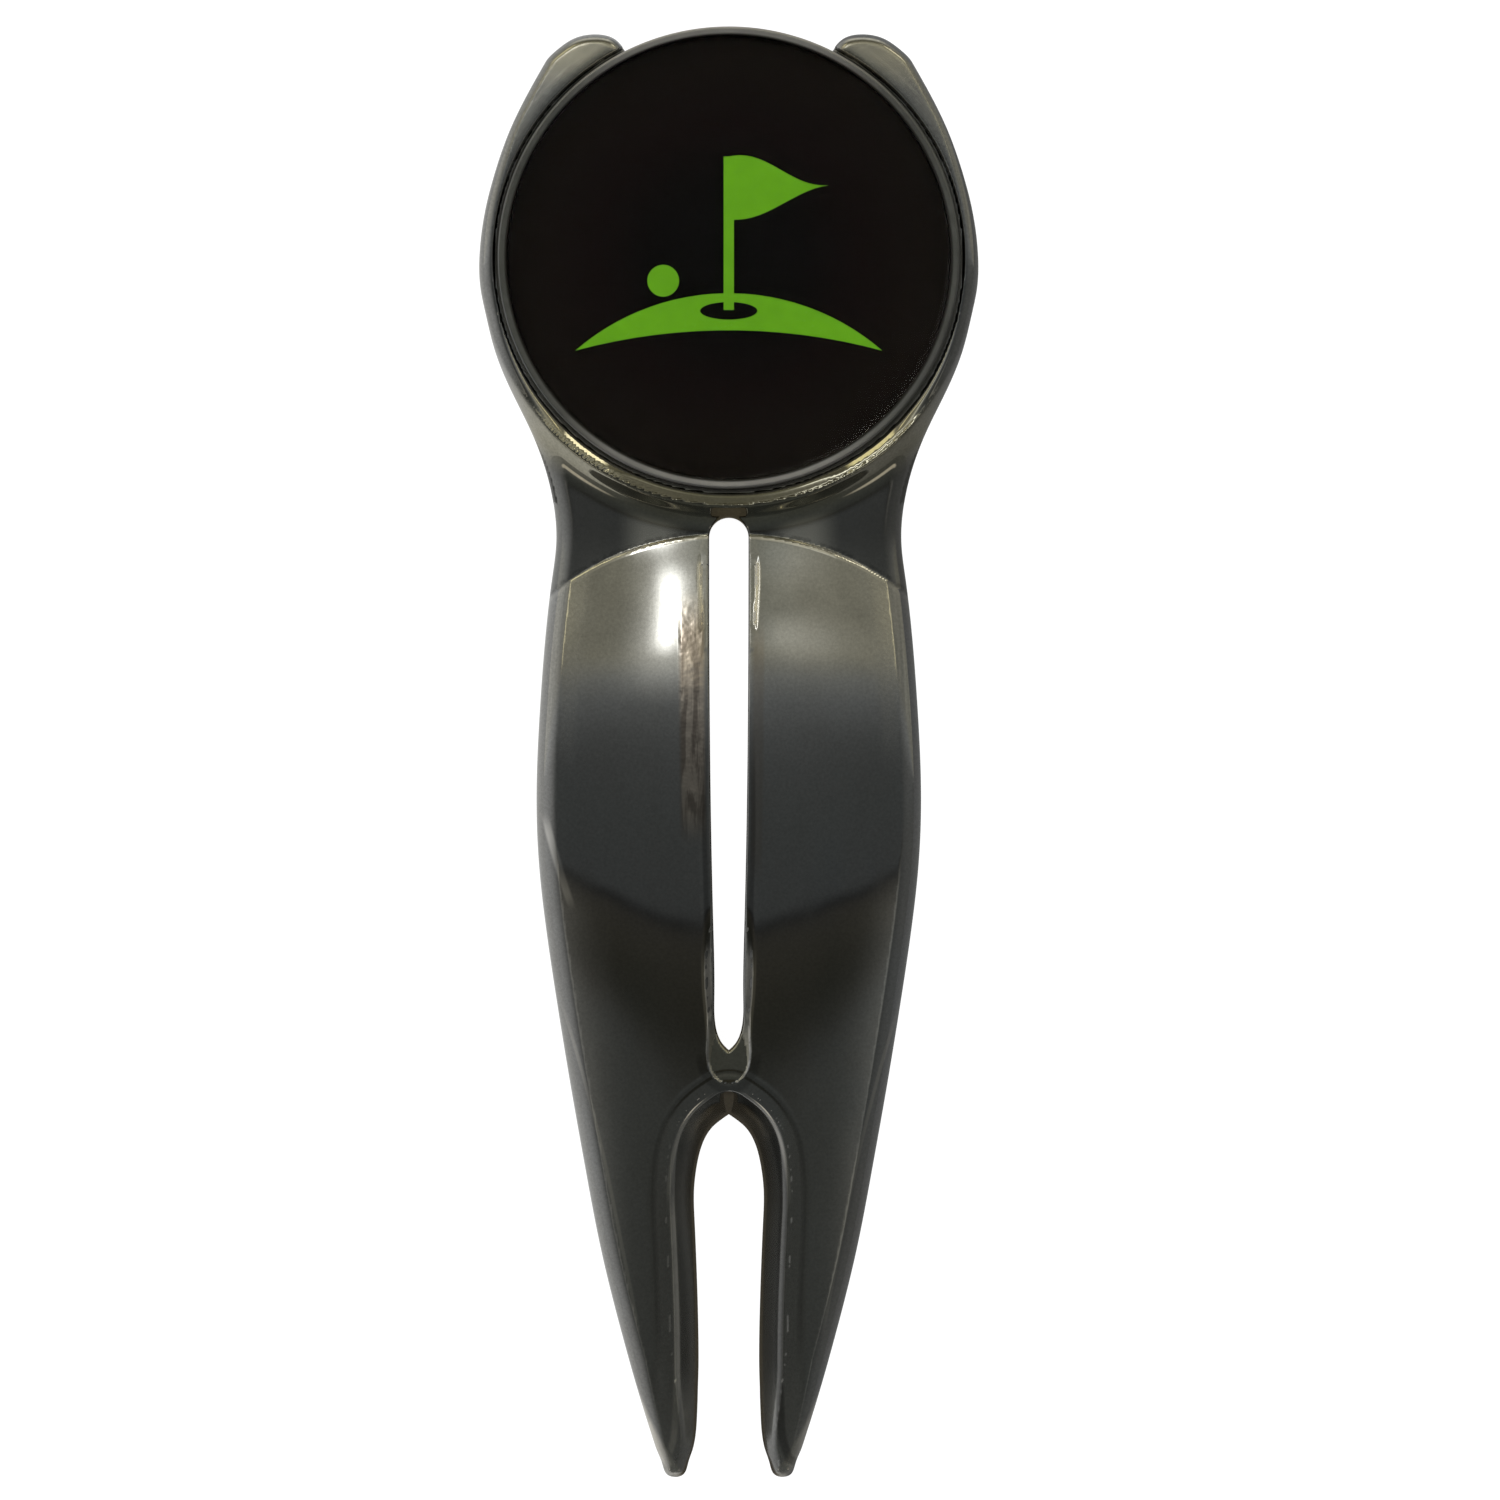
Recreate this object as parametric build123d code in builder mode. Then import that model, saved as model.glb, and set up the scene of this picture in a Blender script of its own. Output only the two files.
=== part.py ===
from build123d import *
import os

# Golf divot repair tool with a magnetic ball marker.
# Millimetres. The tool lies on its back: +Z is up through the marker's face,
# +Y points to the head, -Y to the two prongs, and the tool is mirror-symmetric
# about the YZ plane. The origin is the middle of the footprint, on the rest plane.

# ---------------------------------------------------------------- dimensions
overall_length = 78.66  # marker's upper rim to the prong tips
half_length = overall_length / 2
head_half_width = 13.53

marker_dia = 25.0  # standard ball marker
marker_clearance = 0.25  # radial gap between marker and pocket wall
marker_y = half_length - marker_dia / 2  # centre of the marker and its pocket
pocket_dia = marker_dia + 2 * marker_clearance
ring_top = 4.30  # height of the ring round the pocket
ring_outer_dia = 27.35  # outer edge of the raised bead on the neck side
pocket_floor = 2.60
neck_height = 2.95  # plate between the head and the grip
neck_blend = 0.70  # concave radius from the bead down to the neck

magnet_dia = 10.0
magnet_thickness = 1.40
glue_thickness = 0.10
magnet_bore_dia = 10.3
magnet_bore_floor = 1.05

marker_height = 2.00
marker_base = 0.50
marker_rim_width = 0.49
marker_seat_gap = 0.02
insert_thickness = 0.30
print_thickness = 0.06
dome_edge_drop = 0.16  # dome edge below the top of the rim
dome_rise = 0.22  # dome centre above its edge

slot_top_y = 12.82
slot_top_half = 1.07
slot_end_y = -16.12
gap_apex_y = -19.59
tip_x = 2.92
tip_radius = 0.72
tip_bottom_rise = 0.25  # underside lifts this much at the tips

ring_edge_radius = 0.30

# Right-hand edge of the tool seen from above, horn tip to prong tip: (x, y)
outer_edge = [
    (9.94, 37.44),
    (10.85, 35.82),
    (11.86, 33.75),
    (12.63, 31.60),
    (13.20, 29.42),
    (13.50, 27.20),
    (13.46, 25.20),
    (13.20, 23.90),
    (12.69, 21.86),
    (11.82, 19.70),
    (10.76, 17.53),
    (9.94, 15.37),
    (9.47, 13.20),
    (9.38, 11.45),
    (9.60, 9.55),
    (9.93, 6.70),
    (10.26, 2.35),
    (10.44, -2.20),
    (10.33, -5.70),
    (9.92, -9.52),
    (9.28, -13.85),
    (8.57, -18.20),
    (7.81, -22.50),
    (6.98, -26.84),
    (5.92, -31.17),
    (4.69, -35.50),
    (4.02, -37.60),
]
# Height of the grip and prongs along the centre line, and how fast they fall to the sides
crown = [  # (y, height, fall per x squared)
    (14.5, 2.28, 0.0100),
    (12.1, 3.04, 0.0102),
    (10.0, 3.56, 0.0104),
    (8.0, 3.95, 0.0104),
    (5.0, 4.325, 0.0102),
    (2.0, 4.45, 0.0098),
    (-2.0, 4.42, 0.0096),
    (-6.0, 4.30, 0.0097),
    (-10.0, 4.08, 0.0102),
    (-14.0, 3.78, 0.0110),
    (-18.0, 3.43, 0.0118),
    (-22.0, 3.05, 0.0126),
    (-26.0, 2.68, 0.0134),
    (-30.0, 2.31, 0.0142),
    (-34.0, 1.94, 0.0150),
    (-38.0, 1.58, 0.0156),
    (-41.0, 1.31, 0.0160),
]

os.makedirs("parts", exist_ok=True)

# ---------------------------------------------------------------- tool body
# Skin: the block whose top is the neck plate, the raised ring and the crowned grip.
with BuildPart() as grip_skin:
    for y, height, fall in crown:
        with BuildSketch(Plane.XZ.offset(-y)):
            with BuildLine():
                side = height - fall * 256
                ThreePointArc((-16, side), (0, height), (16, side))
                Polyline((16, side), (16, -8), (-16, -8), (-16, side))
            make_face()
    loft()

with BuildPart() as head_skin:
    # neck plate
    with BuildSketch(Plane.XY):
        with Locations((0, 24)):
            Rectangle(34, 40)
    extrude(amount=neck_height)
    # ring round the pocket, carried out to the edge of the tool above the widest point
    with BuildSketch(Plane.XY):
        with Locations((0, marker_y)):
            Circle(ring_outer_dia / 2)
        with Locations((0, 35)):
            Rectangle(34, 22)
    extrude(amount=ring_top)
    foot = (
        head_skin.edges()
        .filter_by(GeomType.CIRCLE)
        .filter_by(lambda e: abs(e.center().Z - neck_height) < 0.01)
    )
    fillet(foot, radius=neck_blend)

with BuildPart() as tool_body:
    with BuildSketch(Plane.XY):
        with BuildLine() as outline:
            edge = Spline(*outer_edge)
            # prong tip, outside to inside
            tip = Spline(
                outer_edge[-1],
                (tip_x + tip_radius, -38.56),
                (tip_x + 0.46, -39.17),
                (tip_x, -half_length),
                (tip_x - 0.46, -39.17),
                (tip_x - tip_radius, -38.52),
                (1.92, -37.66),
                tangents=[edge % 1, (-0.25, 1)],
            )
            # inner edge of the prong and the pointed arch of the fork
            Spline(
                tip @ 1,
                (1.72, -35.80),
                (1.65, -33.60),
                (1.66, -31.17),
                (1.74, -28.30),
                (1.86, -25.40),
                (1.89, -23.70),
                (1.76, -22.51),
                (1.515, -21.43),
                (0.947, -20.35),
                (0, gap_apex_y),
                tangents=[(-0.25, 1), (-0.82, 0.57)],
            )
            # horn tip
            horn = Spline(
                outer_edge[0],
                (9.34, 38.09),
                (8.37, 38.74),
                (7.22, 38.96),
                (6.20, 38.72),
                (5.62, 38.10),
                (5.20, 37.30),
                tangents=[(edge % 0) * -1, (-0.45, -1)],
            )
            # thumb scallop between the horns, under the marker
            Spline(horn @ 1, (3.20, 36.55), (0, 36.25), tangents=[(-0.8, -0.5), (-1, 0)])
            mirror(about=Plane.YZ)
        make_face()
    extrude(amount=7)

    # everything above the skin comes off
    skin = head_skin.part + grip_skin.part
    add(skin, mode=Mode.INTERSECT)

    # the underside lifts a little towards the prong tips
    with BuildSketch(Plane.YZ):
        with BuildLine():
            Polyline((-30, 0), (-41, 0), (-41, tip_bottom_rise), (-39.0, tip_bottom_rise))
            Spline((-39.0, tip_bottom_rise), (-34.5, 0.10), (-30, 0))
        make_face()
    extrude(amount=16, both=True, mode=Mode.SUBTRACT)

    # long slot, round at the head and pointed at the fork
    with BuildSketch(Plane.XY):
        with BuildLine():
            top = ThreePointArc(
                (slot_top_half, slot_top_y - slot_top_half),
                (0, slot_top_y),
                (-slot_top_half, slot_top_y - slot_top_half),
            )
            Spline(
                (slot_top_half, slot_top_y - slot_top_half),
                (0.98, -3.0),
                (0.84, -9.5),
                (0.785, -13.2),
                (0.69, -14.95),
                (0.36, -15.75),
                (0, slot_end_y),
                tangents=[(0, -1), (-0.75, -0.66)],
            )
            Spline(
                (-slot_top_half, slot_top_y - slot_top_half),
                (-0.98, -3.0),
                (-0.84, -9.5),
                (-0.785, -13.2),
                (-0.69, -14.95),
                (-0.36, -15.75),
                (0, slot_end_y),
                tangents=[(0, -1), (0.75, -0.66)],
            )
        make_face()
    extrude(amount=7, mode=Mode.SUBTRACT)

    # marker pocket and the blind bore for the magnet
    with BuildSketch(Plane.XY.offset(pocket_floor)):
        with Locations((0, marker_y)):
            Circle(pocket_dia / 2)
    extrude(amount=5, mode=Mode.SUBTRACT)
    with BuildSketch(Plane.XY.offset(magnet_bore_floor)):
        with Locations((0, marker_y)):
            Circle(magnet_bore_dia / 2)
    extrude(amount=5, mode=Mode.SUBTRACT)

    # soften the top of the ring on its outer side
    ring_rim = (
        tool_body.edges()
        .filter_by(lambda e: abs(e.bounding_box().min.Z - ring_top) < 0.01)
        .filter_by(lambda e: abs(e.length - 22.05) < 0.2)
    )
    fillet(ring_rim, radius=ring_edge_radius)

tool_body.part.label = "tool_body"
export_step(tool_body.part, "parts/tool_body.step")

# ---------------------------------------------------------------- magnet and its glue
with BuildPart() as magnet_adhesive:
    with BuildSketch(Plane.XY.offset(magnet_bore_floor)):
        with Locations((0, marker_y)):
            Circle(magnet_bore_dia / 2 - 0.05)
    extrude(amount=glue_thickness)
magnet_adhesive.part.label = "magnet_adhesive"
export_step(magnet_adhesive.part, "parts/magnet_adhesive.step")

with BuildPart() as magnet:
    with BuildSketch(Plane.XY.offset(magnet_bore_floor + glue_thickness)):
        with Locations((0, marker_y)):
            Circle(magnet_dia / 2)
    extrude(amount=magnet_thickness)
    chamfer(magnet.faces().sort_by(Axis.Z)[-1].edges(), length=0.12)
magnet.part.label = "magnet"
export_step(magnet.part, "parts/magnet.step")

# ---------------------------------------------------------------- ball marker
marker_z = pocket_floor + marker_seat_gap
insert_z = marker_z + marker_base
print_z = insert_z + insert_thickness
rim_z = marker_z + marker_height
well_radius = marker_dia / 2 - marker_rim_width

# Plated steel cup: thin base with a raised rim
with BuildPart() as marker_cup:
    with BuildSketch(Plane.XY.offset(marker_z)):
        with Locations((0, marker_y)):
            Circle(marker_dia / 2)
    extrude(amount=marker_height)
    with BuildSketch(Plane.XY.offset(insert_z)):
        with Locations((0, marker_y)):
            Circle(well_radius)
    extrude(amount=marker_height, mode=Mode.SUBTRACT)
    fillet(
        marker_cup.edges()
        .filter_by(GeomType.CIRCLE)
        .filter_by(lambda e: abs(e.radius - marker_dia / 2) < 0.01),
        radius=0.18,
    )
marker_cup.part.label = "marker_cup"
export_step(marker_cup.part, "parts/marker_cup.step")

# Printed disc in the bottom of the cup
with BuildPart() as marker_insert:
    with BuildSketch(Plane.XY.offset(insert_z)):
        with Locations((0, marker_y)):
            Circle(well_radius - 0.02)
    extrude(amount=insert_thickness)
marker_insert.part.label = "marker_insert"
export_step(marker_insert.part, "parts/marker_insert.step")

# Raised print: a flag in its hole on a small hill, with a ball beside it
with BuildPart() as marker_emblem:
    with BuildSketch(Plane.XY.offset(print_z)):
        with BuildLine():
            ThreePointArc(
                (-8.3, marker_y - 5.0), (0, marker_y - 1.9), (8.3, marker_y - 5.0)
            )
            ThreePointArc(
                (8.3, marker_y - 5.0), (0, marker_y - 3.9), (-8.3, marker_y - 5.0)
            )
        make_face()
        with Locations((0, marker_y - 2.85)):
            Ellipse(1.55, 0.48, mode=Mode.SUBTRACT)
        with Locations((0, marker_y + 1.35)):
            Rectangle(0.56, 8.3)
        with BuildLine():
            Spline(
                (0, marker_y + 5.5),
                (1.7, marker_y + 5.35),
                (3.4, marker_y + 4.45),
                (5.4, marker_y + 3.95),
            )
            Spline(
                (5.4, marker_y + 3.95),
                (3.3, marker_y + 3.15),
                (1.7, marker_y + 2.35),
                (0, marker_y + 2.1),
            )
            Line((0, marker_y + 2.1), (0, marker_y + 5.5))
        make_face()
        with Locations((-3.55, marker_y - 1.22)):
            Circle(0.86)
    extrude(amount=print_thickness)
marker_emblem.part.label = "marker_emblem"
export_step(marker_emblem.part, "parts/marker_emblem.step")

# Clear resin poured over the print, its face a shallow part of a sphere
dome_radius = well_radius - 0.02
dome_edge_z = rim_z - dome_edge_drop
sphere_radius = (dome_radius**2 + dome_rise**2) / (2 * dome_rise)
half_way_z = (
    dome_edge_z + dome_rise - sphere_radius + (sphere_radius**2 - dome_radius**2 / 4) ** 0.5
)
with BuildPart() as marker_dome:
    with BuildSketch(Plane.YZ):
        with BuildLine():
            Polyline(
                (marker_y, dome_edge_z + dome_rise),
                (marker_y, print_z),
                (marker_y + dome_radius, print_z),
                (marker_y + dome_radius, dome_edge_z),
            )
            ThreePointArc(
                (marker_y + dome_radius, dome_edge_z),
                (marker_y + dome_radius / 2, half_way_z),
                (marker_y, dome_edge_z + dome_rise),
            )
        make_face()
    revolve(axis=Axis((0, marker_y, 0), (0, 0, 1)))
    add(marker_emblem.part, mode=Mode.SUBTRACT)
marker_dome.part.label = "marker_dome"
export_step(marker_dome.part, "parts/marker_dome.step")

print("tool body volume", round(tool_body.part.volume, 1), "pieces", len(tool_body.part.solids()))
print("emblem marks", len(marker_emblem.part.solids()), marker_emblem.part.bounding_box())
print("dome", marker_dome.part.bounding_box())
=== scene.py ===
import math

import bmesh
import bpy
import numpy as np
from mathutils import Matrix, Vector


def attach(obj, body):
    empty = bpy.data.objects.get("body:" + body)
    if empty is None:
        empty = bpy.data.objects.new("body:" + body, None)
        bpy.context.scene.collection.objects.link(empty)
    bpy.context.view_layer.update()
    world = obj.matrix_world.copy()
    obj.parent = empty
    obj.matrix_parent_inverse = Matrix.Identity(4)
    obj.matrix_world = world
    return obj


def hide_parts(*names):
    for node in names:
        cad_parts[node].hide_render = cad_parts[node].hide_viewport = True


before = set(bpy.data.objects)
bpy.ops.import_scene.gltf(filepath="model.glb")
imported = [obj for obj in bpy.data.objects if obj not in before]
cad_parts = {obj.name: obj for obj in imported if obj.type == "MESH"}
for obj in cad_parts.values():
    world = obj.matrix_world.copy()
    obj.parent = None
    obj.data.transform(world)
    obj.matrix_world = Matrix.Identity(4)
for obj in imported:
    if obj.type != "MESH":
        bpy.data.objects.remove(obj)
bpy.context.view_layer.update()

MM = 0.001
HALF = 39.33          # half of the overall length
MARKER_Y = 26.83      # centre of the marker and its pocket


# ----------------------------------------------------------------- curves
def spline(points, step=0.08, start=None, end=None):
    """Points along the cubic spline through the given points, chord-length parameter, clamped where a tangent is given."""
    p = np.array(points, float)
    d = np.linalg.norm(np.diff(p, axis=0), axis=1)
    t = np.concatenate(([0], np.cumsum(d)))
    n = len(p)
    a = np.zeros((n, n))
    b = np.zeros((n, 2))
    for i in range(1, n - 1):
        a[i, i - 1], a[i, i], a[i, i + 1] = 1 / d[i - 1], 2 / d[i - 1] + 2 / d[i], 1 / d[i]
        b[i] = 3 * ((p[i] - p[i - 1]) / d[i - 1] ** 2 + (p[i + 1] - p[i]) / d[i] ** 2)
    if start is None:
        a[0, 0], a[0, 1] = 2, 1
        b[0] = 3 * (p[1] - p[0]) / d[0]
    else:
        a[0, 0] = 1
        b[0] = np.array(start, float) / np.linalg.norm(start)
    if end is None:
        a[-1, -1], a[-1, -2] = 2, 1
        b[-1] = 3 * (p[-1] - p[-2]) / d[-1]
    else:
        a[-1, -1] = 1
        b[-1] = np.array(end, float) / np.linalg.norm(end)
    m = np.linalg.solve(a, b)
    out = []
    for i in range(n - 1):
        k = max(2, int(math.ceil(d[i] / step)))
        s = np.arange(k) / k
        h = d[i]
        s = s[:, None]
        out.append((2 * s**3 - 3 * s**2 + 1) * p[i] + (s**3 - 2 * s**2 + s) * h * m[i] + (-2 * s**3 + 3 * s**2) * p[i + 1] + (s**3 - s**2) * h * m[i + 1])
    out.append(p[-1:])
    return np.concatenate(out)


def smooth(a, b, x):
    t = np.clip((x - a) / (b - a), 0, 1)
    return t * t * (3 - 2 * t)


def cubic(xs, ys):
    """A C2 function through the knots, straight beyond them."""
    x, y = np.array(xs, float), np.array(ys, float)
    n, h = len(x), np.diff(x)
    a = np.zeros((n, n))
    b = np.zeros(n)
    a[0, 0] = a[-1, -1] = 1
    for i in range(1, n - 1):
        a[i, i - 1], a[i, i], a[i, i + 1] = h[i - 1], 2 * (h[i - 1] + h[i]), h[i]
        b[i] = 6 * ((y[i + 1] - y[i]) / h[i] - (y[i] - y[i - 1]) / h[i - 1])
    m = np.linalg.solve(a, b)
    fine = np.linspace(x[0], x[-1], 1200)
    i = np.clip(np.searchsorted(x, fine, side="right") - 1, 0, n - 2)
    u, v, w = x[i + 1] - fine, fine - x[i], h[i]
    table = m[i] * u**3 / (6 * w) + m[i + 1] * v**3 / (6 * w) + (y[i] / w - m[i] * w / 6) * u + (y[i + 1] / w - m[i + 1] * w / 6) * v
    first, last = (table[1] - table[0]) / (fine[1] - fine[0]), (table[-1] - table[-2]) / (fine[1] - fine[0])

    def f(q):
        q = np.asarray(q, float)
        r = np.interp(q, fine, table)
        r = np.where(q < x[0], table[0] + (q - x[0]) * first, r)
        return np.where(q > x[-1], table[-1] + (q - x[-1]) * last, r)

    return f


# Right half of the outline seen from above, from the scallop between the horns to the prong tip
OUTER = [(9.94, 37.44), (10.85, 35.82), (11.86, 33.75), (12.63, 31.60), (13.20, 29.42), (13.50, 27.20), (13.46, 25.20), (13.20, 23.90), (12.69, 21.86), (11.82, 19.70),
         (10.76, 17.53), (9.94, 15.37), (9.47, 13.20), (9.38, 11.45), (9.60, 9.55), (9.93, 6.70), (10.26, 2.35), (10.44, -2.20), (10.33, -5.70), (9.92, -9.52),
         (9.28, -13.85), (8.57, -18.20), (7.81, -22.50), (6.98, -26.84), (5.92, -31.17), (4.69, -35.50), (4.02, -37.60)]
edge = spline(OUTER)
horn = spline([(9.94, 37.44), (9.34, 38.09), (8.37, 38.74), (7.22, 38.96), (6.20, 38.72), (5.62, 38.10), (5.20, 37.30)], 0.03, start=edge[0] - edge[1], end=(-0.45, -1))
scallop = spline([(5.20, 37.30), (3.20, 36.55), (0, 36.25)], 0.08, start=(-0.8, -0.5), end=(-1, 0))
tip = spline([(4.02, -37.60), (3.64, -38.56), (3.38, -39.17), (2.92, -HALF), (2.46, -39.17), (2.20, -38.52), (1.92, -37.66)], 0.025, start=edge[-1] - edge[-2], end=(-0.25, 1))
low = int(np.argmin(tip[:, 1]))
gap = spline([(1.92, -37.66), (1.72, -35.80), (1.65, -33.60), (1.66, -31.17), (1.74, -28.30), (1.86, -25.40), (1.89, -23.70), (1.76, -22.51), (1.515, -21.43), (0.947, -20.35), (0, -19.59)],
             0.05, start=(-0.25, 1), end=(-0.82, 0.57))
outer_line = np.concatenate((scallop[::-1], horn[::-1][1:], edge[1:], tip[1 : low + 1]))
gap_line = np.concatenate((tip[low:], gap[1:]))
arc = np.array([(1.07 * math.sin(a), 11.75 + 1.07 * math.cos(a)) for a in np.linspace(0, math.pi / 2, 40)])
slot_line = np.concatenate((arc, spline([(1.07, 11.75), (0.98, -3.0), (0.84, -9.5), (0.785, -13.2), (0.69, -14.95), (0.36, -15.75), (0, -16.12)], 0.05, start=(0, -1), end=(-0.75, -0.66))[1:]))
# border of the chamfer round the slot, which runs on past the slot's point as a shallow valley
border_line = spline([(1.09, 12.0), (1.50, 11.2), (1.63, 8.3), (1.57, -5.2), (1.45, -9.5), (1.35, -13.3), (1.20, -15.5), (1.17, -16.8), (0.95, -17.35), (0.50, -17.78), (0, -17.95)], 0.05, start=(1, -1), end=(-1, -0.2))

# ----------------------------------------------------------------- distance maps, right half only
MAP_H, REACH = 0.1, 3.6
MX = np.arange(-6, 150) * MAP_H
MY = np.arange(-402, 400) * MAP_H


def distance(line):
    d = np.full((len(MX), len(MY)), REACH)
    for a, b in zip(line[:-1], line[1:]):
        i0, i1 = np.searchsorted(MX, (min(a[0], b[0]) - REACH, max(a[0], b[0]) + REACH))
        j0, j1 = np.searchsorted(MY, (min(a[1], b[1]) - REACH, max(a[1], b[1]) + REACH))
        ab = b - a
        px, py = MX[i0:i1, None] - a[0], MY[None, j0:j1] - a[1]
        t = np.clip((px * ab[0] + py * ab[1]) / (ab @ ab), 0, 1)
        d[i0:i1, j0:j1] = np.minimum(d[i0:i1, j0:j1], np.hypot(px - t * ab[0], py - t * ab[1]))
    return d


def inside(loop):
    a, b = loop, np.roll(loop, -1, axis=0)
    out = np.zeros((len(MX), len(MY)), bool)
    for j, y in enumerate(MY):
        m = (a[:, 1] > y) != (b[:, 1] > y)
        xs = a[m, 0] + (y - a[m, 1]) / (b[m, 1] - a[m, 1]) * (b[m, 0] - a[m, 0])
        out[:, j] = (xs[None, :] > MX[:, None]).sum(axis=1) % 2 == 1
    return out


def whole(line):
    """The line and its mirror image, as one closed loop."""
    return np.concatenate((line, line[::-1] * (-1, 1)))


# below the prong tips the two regions overlap, so that no sign changes next to an edge
within = inside(whole(np.concatenate((outer_line, [(1.92, -40.33)]))))
between = inside(whole(np.concatenate(([(3.92, -40.33)], gap_line))))
MAPS = {
    "outer": np.where(within, -1, 1) * distance(np.concatenate((outer_line[:1] * (-1, 1) - (0.3, 0), outer_line))),
    "gap": np.where(between, 1, -1) * distance(gap_line),
    "slot": np.where(inside(whole(slot_line)), 1, -1) * distance(slot_line),
    "border": np.where(inside(whole(border_line)), 1, -1) * distance(border_line),
}
# an apex on the centre line also has its mirror image near it
for name, line in (("gap", gap_line), ("slot", slot_line), ("border", border_line)):
    other = distance(line * (-1, 1))
    MAPS[name] = np.sign(MAPS[name]) * np.minimum(np.abs(MAPS[name]), other)


def sample(m, x, y):
    """Catmull-Rom bicubic lookup of a map."""
    u = np.clip((np.abs(x) - MX[0]) / MAP_H, 1.001, len(MX) - 3.001)
    v = np.clip((y - MY[0]) / MAP_H, 1.001, len(MY) - 3.001)
    i, j = u.astype(int), v.astype(int)
    fu, fv = u - i, v - j

    def w(f):
        return (((-0.5 * f + 1.0) * f - 0.5) * f, (1.5 * f - 2.5) * f * f + 1, ((-1.5 * f + 2.0) * f + 0.5) * f, (0.5 * f - 0.5) * f * f)

    wu, wv = w(fu), w(fv)
    out = 0
    for a in range(4):
        row = 0
        for b in range(4):
            row = row + wv[b] * m[i + a - 1, j + b - 1]
        out = out + wu[a] * row
    return out


# ----------------------------------------------------------------- height of the upper surface
SLOPE = cubic([-42, -38, -30, -24, -20, -16, -12, -9.5, -8, -4, 0, 3.5, 5.6, 6.5, 9, 11, 13.3, 16],
              [0.090, 0.0905, 0.0925, 0.0938, 0.0938, 0.088, 0.0745, 0.063, 0.054, 0.030, 0.004, -0.045, -0.096, -0.122, -0.192, -0.250, -0.317, -0.40])
_y = np.linspace(-42, 16, 5801)
_s = SLOPE(_y)
_z = np.concatenate(([0], np.cumsum((_s[1:] + _s[:-1]) / 2 * np.diff(_y))))
_z += 4.45 - np.interp(2.0, _y, _z)
FALL = cubic([-41, -34, -26, -18, -10, -2, 2, 5, 8, 10, 12, 14.5], [0.0160, 0.0150, 0.0134, 0.0118, 0.0102, 0.0096, 0.0098, 0.0104, 0.0112, 0.0115, 0.0115, 0.0115])
RING = cubic([12.60, 12.75, 12.85, 12.95, 13.05, 13.15, 13.25, 13.33, 13.40, 13.46, 13.54, 13.65, 13.8, 13.95, 14.15, 14.4, 14.75, 15.25, 16, 17, 18.5, 20, 21.5, 24, 27],
             [4.05, 4.14, 4.19, 4.225, 4.245, 4.256, 4.265, 4.28, 4.30, 4.29, 4.22, 4.06, 3.83, 3.62, 3.41, 3.24, 3.12, 3.07, 3.03, 2.975, 2.90, 2.825, 2.76, 2.66, 2.56])
HORN = cubic([12.60, 12.75, 12.9, 13.1, 13.5, 14.0, 15.0, 16.0], [4.215, 4.243, 4.258, 4.262, 4.248, 4.222, 4.155, 4.075])


def ease(t, w):
    """max(t, 0) with its corner rounded over +-w."""
    return np.where(t < -w, 0, np.where(t > w, t, (t + w) ** 2 / (4 * w)))


def blend(a, b, k):
    """max(a, b) with its corner rounded."""
    h = np.clip(0.5 + 0.5 * (a - b) / k, 0, 1)
    return b + (a - b) * h + k * h * (1 - h)


def profile(x, y):
    """Height of the top of the tool before its edges are rounded, how far the grip stands above the neck, and the radius about the marker."""
    r = np.hypot(x, y - MARKER_Y)
    grip = np.interp(y, _y, _z) - FALL(y) * x * x
    up = smooth(20.5, 27.5, y)
    head = RING(r) * (1 - up) + HORN(r) * up
    # the lip of the pocket rolls in further at the two lower corners
    turn = np.degrees(np.arctan2(y - MARKER_Y, np.abs(x)))
    bevel = 4.262 - 0.42 * ease(13.16 - r, 0.05)
    near = np.exp(-(((turn + 54) / 11) ** 4)) * (r < 13.3)
    head = head * (1 - near) + np.minimum(bevel, head) * near
    rise = grip - head
    # the neck sweeps up a little towards the grip, which starts with a small sharp lip
    ax = np.abs(x)
    head = head + 0.035 * (np.exp(np.clip(rise, -4, 0) / 0.28) - 1) * smooth(16.5, 14.0, y)
    lip = (0.025 + 0.042 * smooth(8.0, 5.0, ax)) * smooth(-0.022, 0.026, rise) * np.exp(-np.maximum(rise, 0) / 0.30)
    return blend(grip + lip * (y < 14.5), head, 0.02), rise, r


def corner(a, b, r):
    """Intersection of two fields with a round corner of radius r."""
    return np.minimum(np.maximum(a, b) + r, 0) * 1.0 + np.hypot(np.maximum(a + r, 0), np.maximum(b + r, 0)) - r


KEYS = ("outer", "gap", "slot", "border")


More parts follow.
